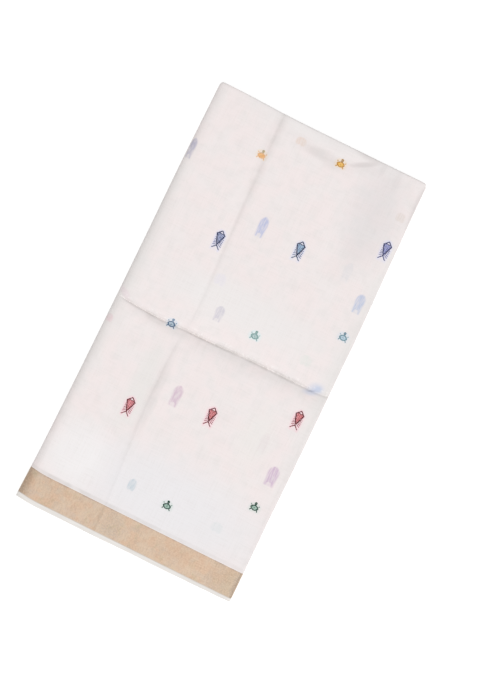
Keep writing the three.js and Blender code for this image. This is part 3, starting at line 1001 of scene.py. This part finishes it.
def shadow_group(name, widths, notch):
    """A node group that gives a share inside the soft shape of a sprig seen through the cloth."""
    reach = widths[-1][0]
    group = bpy.data.node_groups.new(name, "ShaderNodeTree")
    for socket in ("Place", "Centre", "Size"):
        group.interface.new_socket(socket, in_out="INPUT", socket_type="NodeSocketVector")
    group.interface.new_socket("Strength", in_out="INPUT", socket_type="NodeSocketFloat")
    group.interface.new_socket("Factor", in_out="OUTPUT", socket_type="NodeSocketFloat")
    start = add(group, "NodeGroupInput").outputs
    local = add(group, "VectorMath", (start["Place"], start["Centre"]), operation="SUBTRACT")
    local = add(group, "VectorMath", (local, start["Size"]), operation="DIVIDE")
    across, lengthwise = add(group, "SeparateXYZ", (local,)).outputs[:2]
    side = add(group, "Math", (across,), operation="ABSOLUTE")
    width, bare = [table_curve(group, lengthwise, table, top=10, bottom=-3) for table in (widths, notch)]
    inside = add(group, "Math", (width, side), operation="SUBTRACT")
    outside = add(group, "Math", (side, bare), operation="SUBTRACT")
    to_end = add(group, "Math", (lengthwise,), operation="ABSOLUTE")
    factor = start["Strength"]
    for ramp in (
        (inside, -1.6 * MM, 1.8 * MM, 0, 1),
        (outside, -0.9 * MM, 1.1 * MM, 0.35, 1),
        (to_end, (reach - 2.6) * MM, reach * MM, 1, 0),
        (grain(group, start["Place"], 1.61, 2, (1, 0.16, 1)), 0.36, 0.62, 0.5, 1),
    ):
        share = add(group, "MapRange", ramp, **SOFT)
        factor = add(group, "Math", (factor, share), operation="MULTIPLY")
    add(group, "NodeGroupOutput", {"Factor": factor})
    return group


# Soft tones of the cloth: painted shade of its soft folds, its creases and both long sides, and its own
# tints
# and uneven tone: x, y, half across, half along, turn in degrees, colour, strength
CLOTH_TONES_AND_SHADE = (
    # Broad tones. Those along both long sides and below the cross crease are painted shade; the others make
    # bands across the packet greyer or cooler, and one patch lighter.
    (0, 46, 165, 40, 0, "#EFEBEA", 0.9),
    (0, 290, 165, 28, 0, "#EDE9E8", 0.8),
    (-150, 40, 30, 250, 0, "#E9E6E4", 0.7),
    (152, 40, 30, 260, 0, "#E9E6E4", 0.7),
    (-70, -95, 22, 90, 0, "#EAE7E4", 0.7),
    (88, -90, 32, 56, 0, "#EFEBE8", 0.7),
    (20, -212, 190, 80, 0, "#EDEBED", 0.9),
    (-104, -208, 56, 62, 0, "#F4F1F1", 0.8),
    # Painted shade of the soft folds by the fold end, and of its corner on the open side
    (98, 222, 50, 100, 4, "#D0CFD1", 0.3),
    (86, 283, 6, 16, 0, "#CFC9C9", 0.2),
    (108, 274, 7, 20, 0, "#CFC9C9", 0.18),
    (9, 264.5, 38, 10, 4, "#CFCAC8", 0.36),
    (63, 276, 25, 5, 28, "#CDC6C5", 0.45),
    (64, 288, 25, 9, 0, "#C6BFBD", 0.38),
    (148, 258, 12, 46, 0, "#C4BEBD", 0.55),
    # The cloth's own blue and pink tints of dye
    (129.5, -3.8, 15, 11, 28, "#BCCCE8", 0.42),
    (132.0, -3.0, 8, 6, 30, "#AEC2E4", 0.35),
    (123.5, -9.4, 13, 7, 20, "#BECCE6", 0.42),
    (125.5, -8.2, 8, 1.5, 24, "#7C88A8", 0.45),
    (-138, 1.5, 16, 6, -32, "#E6D2DA", 0.4),
    # Painted shade below the cross crease, on a faint second line beside it, and beside the lengthwise
    # crease
    (-87, -13, 24, 5, 0, "#CCC5C2", 0.16),
    (90, -5.0, 34, 1.4, 0, "#C6C0BD", 0.3),
    (-49, -96, 9, 90, 0, "#D2CFCE", 0.22),
)
# Tones of the border, in the same columns: its own grey and warm patches, and painted shade towards both its
# ends, by the spine and by the open edge
BORDER_TONES_AND_SHADE = (
    (-29, -268, 24, 34, 0, "#B8A999", 0.55),
    (-153, -268, 16, 60, 0, "#A48D78", 0.7),
    (60, -262, 50, 30, 0, "#C8A88C", 0.3),
    (122, -270, 20, 40, 0, "#BCA48E", 0.5),
    (139, -270, 16, 44, 0, "#B8A68C", 0.55),
    (148, -268, 8, 50, 0, "#A39384", 0.75),
)

# Mottling of the border, pressed grey, green, brown streaks and pale slubs: tone, size, where it starts
# and is full, least and greatest share, detail, stretch
BORDER_MOTTLES = (
    ("#B5A596", 13.3, 0.5, 0.68, 0, 0.35, 2.5),
    ("#B4A888", 10.5, 0.56, 0.7, 0, 0.4, 2, (1, 0.8, 1)),
    ("#A98568", 2.08, 0.4, 0.66, 0, 0.22, 2, (1, 0.3, 1)),
    ("#D9BFA4", 1.79, 0.44, 0.64, 0, 0.5, 2, (1, 0.9, 1)),
)


def soft_spots(tree, place, colour, spots):
    """Soft round patches of other tones over a colour."""
    for x, y, across, lengthwise, turn, tone, strength in spots:
        placing = {
            "Vector": place,
            "Location": (x * MM, y * MM, 0),
            "Rotation": (0, 0, math.radians(turn)),
            "Scale": (across * MM, lengthwise * MM, 1),
        }
        moved = add(tree, "Mapping", placing, vector_type="TEXTURE")
        away = add(tree, "VectorMath", (moved,), operation="LENGTH")
        colour = tinted(tree, colour, tone, add(tree, "MapRange", (away, 0.25, 1, strength, 0), **SOFT))
    return colour


def sprigs_below(tree, place, colour):
    """The colour with the sprigs of the leaf below, and the haze of the dye round the front's own sprigs."""
    groups = {
        "fish": shadow_group("fish_through_cloth", FISH_SHADOW, FISH_NOTCH),
        "turtle": shadow_group("turtle_through_cloth", TURTLE_SHADOW, TURTLE_NOTCH),
    }
    hazes = [(kind, x, y, *HAZE_SIZE, shades[3], HAZE_STRENGTH) for kind, x, y, shades in FRONT_SPRIGS]
    for kind, x, y, width, length, tone, strength in (*SEEN_THROUGH, *hazes):
        inputs = (place, (x * MM, y * MM, 0), (width, length, 1), strength)
        colour = tinted(tree, colour, tone, add(tree, "Group", inputs, node_tree=groups[kind]))
    return colour


def creases(tree, place, colour):
    """The colour with painted shade along its pressed creases, as fine grey lines and soft bands, and
    along both long sides, with a darker line just above its border's seam, and with painted highlights
    beside the cross crease.
    """
    across, lengthwise = add(tree, "SeparateXYZ", (place,)).outputs[:2]
    crease_y = table_curve(tree, across, CROSS_CREASE, top=0, bottom=-12)
    beyond = add(tree, "Math", (lengthwise, crease_y), operation="SUBTRACT")
    crease_x = table_curve(tree, lengthwise, LENGTH_CREASE, top=-40, bottom=-60)
    aside = add(tree, "Math", (across, crease_x), operation="SUBTRACT")
    seam = FIELD_START - PACKET_LENGTH / 2

    # Bands of painted shade, and of the darker line above the seam: what each follows, its middle and half
    # its width in millimetres, and its share
    bands = {
        "groove": (beyond, 0.4, 3.4, 0.3),
        "groove_wall": (beyond, 1.4, 2.1, 0.3),
        "far_side": (beyond, 2.6, 4.5, 0.1),
        "line": (aside, 0.5, 3.6, 1),
        "wide_line": (aside, 0.5, 12, 1),
        "below": (lengthwise, -62, 60, 0.2),
        "wide_below": (lengthwise, -120, 95, 0.1),
        "seam": (lengthwise, seam + 2.7, 3.6, 1),
        "spine": (across, -151, 14, 0.22),
    }
    # Ramps that shape the painted shade: what each follows, from and to in millimetres, and its share at
    # both
    ramps = {
        "near_side": (beyond, -16, -2, 0, 0.17),
        "to_line": (beyond, 0, 1.4, 1, 0),
        "from_spine": (across, -135, -100, 0.15, 1),
        "to_open": (across, 112, 128, 1, 0.15),
        "groove_start": (across, -140, -130, 0, 1),
        "above": (lengthwise, 40, 150, 0, 0.12),
        "wide_above": (lengthwise, 100, 250, 0, 0.17),
        "seam_fade": (across, -150, 150, 0.42, 0.18),
        "open_edge": (across, 139, 147, 0, 0.2),
    }
    share = {name: band(tree, *values) for name, values in bands.items()}
    for name, (value, low, high, first, last) in ramps.items():
        share[name] = add(tree, "MapRange", (value, low * MM, high * MM, first, last), **SOFT)
    uneven = patches(tree, place, 14.3, 0.35, 0.65, 0.5, 1, detail=3)
    # Each row of names is one band of painted shade, or the darker seam line, in a light grey, times uneven
    # patches
    for names in (
        ("near_side", "to_line", "from_spine", "to_open"),
        ("groove", "groove_start"),
        ("groove_wall", "from_spine", "to_open"),
        ("far_side", "from_spine", "to_open"),
        ("line", "above"),
        ("line", "below"),
        ("wide_line", "wide_above"),
        ("wide_line", "wide_below"),
        ("seam", "seam_fade"),
        ("open_edge",),
        ("spine",),
    ):
        colour = tinted(tree, colour, "#C2BCB8", *[share[name] for name in names], uneven)

    # Small puckers along the cross crease catch the light
    puckers = patches(tree, place, 3.33, 0.52, 0.66)
    return tinted(tree, colour, "#FFFBF9", puckers, band(tree, beyond, 4, 6, 0.34))


def woven_bump(tree, place, weave, strength):
    """Bump of the weave: uneven threads both ways. Real ones lie 0.35 mm apart, which would flicker."""
    threads = crossed_threads(tree, place, weave / MM / THREAD_SHARE, 2, 0.1)
    return add(tree, "Bump", {"Height": threads, "Strength": strength, "Distance": 0.6 * MM})


def muslin_material(colours, weave):
    """Fine handloom cotton muslin: matt and off-white, with uneven slub threads and a faint see-through."""
    material, tree = new_material("cotton_muslin")
    place = add(tree, "UVMap", uv_map="cloth")
    cool = patches(tree, place, 26.3, 0.38, 0.62, detail=3)
    tones = {0: cool, 6: (*colours.muslin, 1), 7: (*colours.muslin_cool, 1)}
    colour = add(tree, "Mix", tones, **RGBA)
    handled = patches(tree, place, 13.3, 0.42, 0.72, 0, 0.2, detail=3)
    colour = tinted(tree, colour, "#DFDAD8", handled)
    # Tones of the cloth, with painted shade of its soft folds, its creases and both long sides
    colour = soft_spots(tree, place, colour, CLOTH_TONES_AND_SHADE)

    # Slubs are threads a little thicker than the rest. Real ones are 0.5 mm wide. They are drawn 1.5 mm
    # wide, because finer ones don't show.
    slubs = crossed_threads(tree, place, 1.54, 1, 0.05)
    colour = tinted(tree, colour, "#CFC7C2", add(tree, "MapRange", (slubs, 0.9, 1.4, 0, 0.12), **SOFT))

    colour = sprigs_below(tree, place, colour)
    # Painted shade along the creases and both long sides, and painted highlights beside the cross crease
    colour = creases(tree, place, colour)
    inputs = {
        "Base Color": colour,
        "Normal": woven_bump(tree, place, weave, 0.12),
        "Roughness": 0.85,
        "IOR": 1.5,
        "Specular IOR Level": 0.25,
        "Sheen Weight": 0.1,
        "Sheen Roughness": 0.6,
    }
    finish_material(tree, inputs)
    return material


def border_material(colours, weave):
    """Dull gold thread on a cotton warp: a tan band with a soft silky shine, mottled where it was pressed.

    Real gold threads are 0.3 mm wide. They are drawn as streaks and slubs of about 2 mm, because finer
    ones don't show.
    """
    material, tree = new_material("gold_thread_border")
    place = add(tree, "UVMap", uv_map="cloth")
    warm = patches(tree, place, 14.3, 0.42, 0.6)
    colour = add(tree, "Mix", {0: warm, 6: (*colours.gold, 1), 7: (*colours.gold_warm, 1)}, **RGBA)
    pale = patches(tree, place, 23.8, 0.48, 0.68, 0, 0.5, 3, (1, 1.4, 1))
    colour = tinted(tree, colour, "#C9B8A9", pale)
    # Tones of the border, with painted shade towards both its ends
    colour = soft_spots(tree, place, colour, BORDER_TONES_AND_SHADE)
    for tone, *pattern in BORDER_MOTTLES:
        colour = tinted(tree, colour, tone, patches(tree, place, *pattern))
    edge = add(tree, "SeparateXYZ", (place,)).outputs["Y"]
    edge_line = band(tree, edge, FIELD_START - PACKET_LENGTH / 2, 1.8, 0.6)
    colour = tinted(tree, colour, "#A58C7C", edge_line, patches(tree, place, 9.09, 0.4, 0.6, 0.3, 1))
    inputs = {
        "Base Color": colour,
        "Normal": woven_bump(tree, place, weave, 0.3),
        "Roughness": 0.5,
        "Metallic": 0.15,
        "IOR": 1.5,
        "Sheen Weight": 0.15,
        "Sheen Roughness": 0.4,
    }
    finish_material(tree, inputs)
    return material


def selvedge_material(colours, weave):
    """The closely woven cotton edge: whiter and denser than the muslin, with ribs 1.1 mm wide along it."""
    material, tree = new_material("cotton_selvedge")
    place = add(tree, "UVMap", uv_map="cloth")
    ribs = patches(tree, place, 1.11, 0.35, 0.7, 0, 0.3, 1, (0.04, 1, 1))
    colour = tinted(tree, (*colours.selvedge, 1), "#D2CCC6", ribs)
    edge = add(tree, "SeparateXYZ", (place,)).outputs["Y"]
    edge_line = band(tree, edge, SELVEDGE_WIDTH - PACKET_LENGTH / 2, 1.4, 0.6)
    colour = tinted(tree, colour, "#B8A99C", edge_line)
    bump = woven_bump(tree, place, weave, 0.3)
    inputs = {"Base Color": colour, "Normal": bump, "Roughness": 0.8, "IOR": 1.5, "Sheen Weight": 0.1}
    finish_material(tree, inputs)
    return material


def sprig_material():
    """Dyed soft-twist cotton yarn: matt, with a slight nap and a twist of 0.6 mm, uneven in its dye."""
    material, tree = new_material("dyed_cotton_yarn")
    dye = add(tree, "Attribute", attribute_name="thread")
    place = add(tree, "TexCoord").outputs["Object"]
    uneven = patches(tree, place, 1.11, 0.3, 0.7, 0.86, 1.1)
    colour = add(tree, "Mix", {0: 1, 6: dye, 7: uneven}, blend_type="MULTIPLY", **RGBA)
    twist = grain(tree, place, 0.625, 1, (1, 0.4, 1))
    inputs = {
        "Base Color": colour,
        "Normal": add(tree, "Bump", {"Height": twist, "Strength": 0.4, "Distance": 0.2 * MM}),
        "Roughness": 0.75,
        "IOR": 1.5,
        "Specular IOR Level": 0.2,
        "Sheen Weight": 0.04,
    }
    finish_material(tree, inputs)
    return material


def floor_material():
    """Opal acrylic of a light table: matt white, lit from within, so that shadows on it are faint."""
    material, tree = new_material("opal_acrylic")
    place = add(tree, "TexCoord").outputs["Object"]
    cloudy = patches(tree, place, 8.33, 0.3, 0.7, 0.97, 1)
    colour = add(tree, "Mix", {0: 1, 6: (*linear("#959595"), 1), 7: cloudy}, blend_type="MULTIPLY", **RGBA)
    inputs = {
        "Base Color": colour,
        "Roughness": 0.9,
        "Emission Color": (*linear("#FFFFFF"), 1),
        "Emission Strength": 0.82,
    }
    finish_material(tree, inputs)
    return material


def size_property(name, description, default):
    return FloatProperty(
        name=name, description=description, default=default * MM, unit="LENGTH", precision=5
    )


def colour_property(name, description, colour):
    return FloatVectorProperty(
        name=name, description=description, default=linear(colour), subtype="COLOR", size=3
    )


class SareeSizes(bpy.types.PropertyGroup):
    """Sizes of the cloth and its threads."""

    cloth_thickness: size_property("Cloth thickness", "Thickness of the muslin", 0.4)
    leaves: IntProperty(
        name="Folded leaves", description="Doubled leaves inside the wrap", default=8, min=1, max=8
    )
    weave_grain: size_property("Weave grain", "Width of the threads that the weave shows", 0.9)
    float_pitch: size_property("Float pitch", "Distance between the sprigs' wefts", 0.62)
    float_rise: size_property("Float rise", "How far a sprig's threads stand up", 0.22)


class SareeColours(bpy.types.PropertyGroup):
    """Colours of the cloth."""

    muslin: colour_property("Muslin", "Warm tone of the muslin", "#F3E9E8")
    muslin_cool: colour_property("Muslin, cool", "Cool tone of the muslin", "#F1EAE9")
    gold: colour_property("Gold border", "Main tone of the border", "#CFB8A1")
    gold_warm: colour_property("Gold border, warm", "Warm patches of the border", "#D0B197")
    selvedge: colour_property("Selvedge", "The white edge", "#ECE8E4")


# The three cloths, each made the first time it is asked for
CLOTHS = {
    "field": ("cotton_muslin", muslin_material),
    "border": ("gold_thread_border", border_material),
    "selvedge": ("cotton_selvedge", selvedge_material),
}


def cloth_materials(scene):
    """The materials of the field, the border and the selvedge, in that order."""
    look = (scene.saree_colours, scene.saree_sizes.weave_grain)
    return {cloth: bpy.data.materials.get(name) or make(*look) for cloth, (name, make) in CLOTHS.items()}


class SAREE_OT_wrap(bpy.types.Operator):
    """Build the outer wrap of cloth: its field, its gold border and its selvedge"""

    bl_idname = "saree.wrap"
    bl_label = "Outer wrap"

    def execute(self, context):
        sizes = context.scene.saree_sizes
        for stretch, material in cloth_materials(context.scene).items():
            piece = build_wrap(stretch, sizes.cloth_thickness, material)
            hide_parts(f"front_{stretch}", f"back_{stretch}")
        return {"FINISHED"}


class SAREE_OT_leaves(bpy.types.Operator):
    """Build the folded leaves inside the wrap"""

    bl_idname = "saree.leaves"
    bl_label = "Folded leaves"

    def execute(self, context):
        leaves = context.scene.saree_sizes.leaves
        piece = build_leaves(leaves, cloth_materials(context.scene).values())
        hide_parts("folded_layers")
        return {"FINISHED"}


class SAREE_OT_sprigs(bpy.types.Operator):
    """Weave the fish and turtle sprigs on the front and the underside"""

    bl_idname = "saree.sprigs"
    bl_label = "Woven sprigs"

    def execute(self, context):
        sizes = context.scene.saree_sizes
        material = bpy.data.materials.get("dyed_cotton_yarn") or sprig_material()
        pitch = sizes.float_pitch / MM
        sides = {
            "front": (FRONT_SPRIGS, sizes.float_rise / MM),
            "under": (UNDER_SPRIGS, UNDER_FLOAT_RISE),
        }
        for side, (sprigs, rise) in sides.items():
            for i, (kind, x, y, colours) in enumerate(sprigs):
                name = f"{side}_{kind}_{i + 1}"
                under = side == "under"
                mesh = build_sprig(name, kind, x, y, colours, pitch, rise, FIRST_SEED + i, under)
                piece = new_piece(name, mesh, material)
        return {"FINISHED"}


# The camera looks straight down, turned so that the packet leans to one side: its lens in millimetres,
# how many metres it sees, and how far it is moved to its own right and up
CAMERA_LENS = 85
VIEW_HEIGHT = 0.851
PACKET_LEAN = 25.785
CAMERA_RIGHT = 18.4
CAMERA_UP = 1.25

# A wide soft key light, and an even fill. Angles are in degrees
FILL_STRENGTH = 0.47
KEY_STRENGTH = 1.95
KEY_ELEVATION = 58
KEY_AZIMUTH = -60
KEY_SPREAD = 40

# The floor: half its side in metres, and how far it lies below the packet
FLOOR_HALF = 30
FLOOR_DROP = 0.1


class SAREE_OT_stage(bpy.types.Operator):
    """Lay the floor, and set the lights and the camera"""

    bl_idname = "saree.stage"
    bl_label = "Floor, lights and camera"

    def execute(self, context):
        scene = context.scene
        bm = bmesh.new()
        bmesh.ops.create_grid(bm, x_segments=1, y_segments=1, size=FLOOR_HALF)
        bmesh.ops.translate(bm, verts=bm.verts, vec=(0, 0, -FLOOR_DROP * MM))
        mesh = mesh_from("floor", bm)
        mesh.materials.append(floor_material())
        floor = bpy.data.objects.new("floor", mesh)
        scene.collection.objects.link(floor)

        world = bpy.data.worlds.new("studio_fill")
        world.use_nodes = True
        fill = world.node_tree.nodes["Background"]
        fill.inputs["Color"].default_value = (1, 1, 1, 1)
        fill.inputs["Strength"].default_value = FILL_STRENGTH
        scene.world = world

        key = bpy.data.lights.new("key", "SUN")
        key.energy = KEY_STRENGTH
        key.angle = math.radians(KEY_SPREAD)
        lamp = bpy.data.objects.new("key", key)
        lamp.rotation_euler = (math.radians(90 - KEY_ELEVATION), 0, math.radians(90 + KEY_AZIMUTH))
        scene.collection.objects.link(lamp)

        camera_data = bpy.data.cameras.new("camera")
        camera_data.lens = CAMERA_LENS
        camera = bpy.data.objects.new("camera", camera_data)
        lean = math.radians(PACKET_LEAN)
        distance = VIEW_HEIGHT * CAMERA_LENS / camera_data.sensor_width
        camera.location = Matrix.Rotation(lean, 3, "Z") @ Vector((CAMERA_RIGHT, CAMERA_UP, 0)) * MM
        camera.location.z = CAD_HIGH.z + distance
        camera.rotation_euler = (0, 0, lean)
        scene.collection.objects.link(camera)
        scene.camera = camera
        scene.view_settings.view_transform = "Standard"
        return {"FINISHED"}


class SAREE_PT_panel(bpy.types.Panel):
    """The saree's sizes, colours and builders"""

    bl_idname = "SAREE_PT_panel"
    bl_label = "Folded Muslin Saree"
    bl_space_type = "VIEW_3D"
    bl_region_type = "UI"
    bl_category = "Saree"

    def draw(self, context):
        layout = self.layout
        for group in (context.scene.saree_sizes, context.scene.saree_colours):
            column = layout.column(align=True)
            for name in group.__annotations__:
                column.prop(group, name)
        for operator in OPERATORS:
            layout.operator(operator.bl_idname)


OPERATORS = (SAREE_OT_wrap, SAREE_OT_leaves, SAREE_OT_sprigs, SAREE_OT_stage)
CLASSES = (SareeSizes, SareeColours, *OPERATORS, SAREE_PT_panel)


def register():
    for cls in CLASSES:
        bpy.utils.register_class(cls)
    bpy.types.Scene.saree_sizes = PointerProperty(type=SareeSizes)
    bpy.types.Scene.saree_colours = PointerProperty(type=SareeColours)


def unregister():
    del bpy.types.Scene.saree_colours
    del bpy.types.Scene.saree_sizes
    for cls in reversed(CLASSES):
        bpy.utils.unregister_class(cls)


def main():
    register()
    bpy.ops.saree.wrap()
    bpy.ops.saree.leaves()
    bpy.ops.saree.sprigs()
    bpy.ops.saree.stage()


if __name__ == "__main__":
    main()
